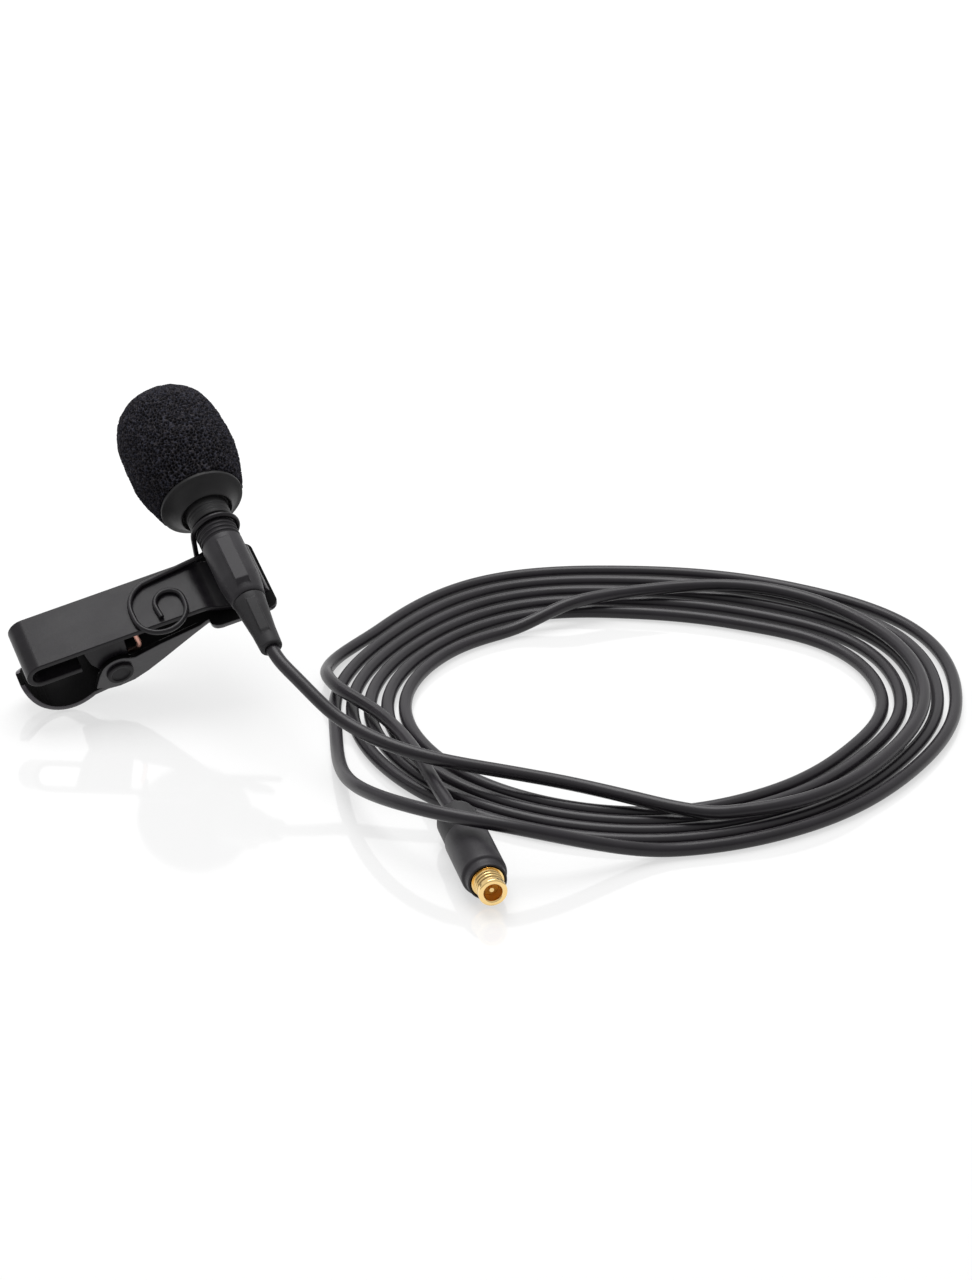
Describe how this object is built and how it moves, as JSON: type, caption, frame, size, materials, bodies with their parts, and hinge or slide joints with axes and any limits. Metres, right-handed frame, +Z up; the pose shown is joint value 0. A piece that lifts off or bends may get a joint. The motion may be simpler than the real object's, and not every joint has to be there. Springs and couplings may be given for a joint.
{
  "type": "lavalier microphone",
  "caption": "Lavalier microphone with foam windscreen, held by a wire on a sprung sheet-metal clip, with its thin coiled lead and threaded plug",
  "frame": {"origin": "centre of the bounding box of the microphone and its clip, on the surface that the clip lies on; the lead and plug are left out", "axes": "+Z up, +X towards the coiled lead, +Y away from the plug end"},
  "size_m": [0.1144, 0.0863, 0.0331],
  "materials": {
    "foam": "porous open-cell foam",
    "black_plastic": "smooth satin",
    "black_rubber": "soft satin",
    "black_metal": "satin black coat on steel",
    "cord_jacket": "smooth soft jacket",
    "gold": "gold plated, polished",
    "copper": "bare drawn wire",
    "can_metal": "drawn, plain",
    "crimp_metal": "tinned",
    "amber_insulator": "translucent amber resin",
    "pale_plastic": "plain moulded",
    "felt": "pressed felt",
    "board": "green laminate"
  },
  "bodies": {
    "microphone": {"capsule_grille": "black_metal", "capsule_housing": "black_metal", "dust_felt": "felt", "electret_can": "can_metal", "diaphragm_ring": "gold", "diaphragm": "pale_plastic", "spacer_ring": "pale_plastic", "backplate": "gold", "backplate_insulator": "pale_plastic", "fet_board": "board", "fet": "black_plastic", "gate_lead": "crimp_metal", "core_wire": "copper", "shield_wire": "copper", "mic_boot": "black_plastic", "strain_relief": "black_rubber", "cable_end": "cord_jacket", "cable_crimp": "crimp_metal", "cord_from_mic": "cord_jacket", "cord_coil": "cord_jacket", "cord_to_plug": "cord_jacket", "plug_relief": "black_rubber", "plug_shell": "black_plastic", "plug_barrel": "gold", "plug_insulator": "amber_insulator", "plug_pin": "gold"},
    "windscreen": {"foam_windscreen": "foam", "windscreen_collar": "black_plastic"},
    "clip": {"clip_front_plate": "black_metal", "hinge_pin": "black_metal", "torsion_spring": "copper", "wire_holder": "black_metal"},
    "rear_jaw": {"clip_rear_jaw": "black_metal"}
  },
  "joints": [
    {"name": "windscreen_slide", "type": "slide", "parent": "microphone", "child": "windscreen", "axis": [-0.3888, 0.8238, 0.4126], "range_m": [0, 0.016]},
    {"name": "clip_swivel", "type": "hinge", "parent": "microphone", "child": "clip", "pos_m": [0.00813, -0.00147, 0.01995], "axis": [0.3888, -0.8238, -0.4126], "range_deg": [-220, 70]},
    {"name": "jaw_hinge", "type": "hinge", "parent": "clip", "child": "rear_jaw", "pos_m": [-0.00469, -0.0056, 0.0063], "axis": [-0.3888, 0.8238, 0.4126], "range_deg": [0, 15], "stiffness_Nm_per_rad": 0.03, "springref_deg": -11.46, "deforming": ["torsion_spring"]}
  ]
}
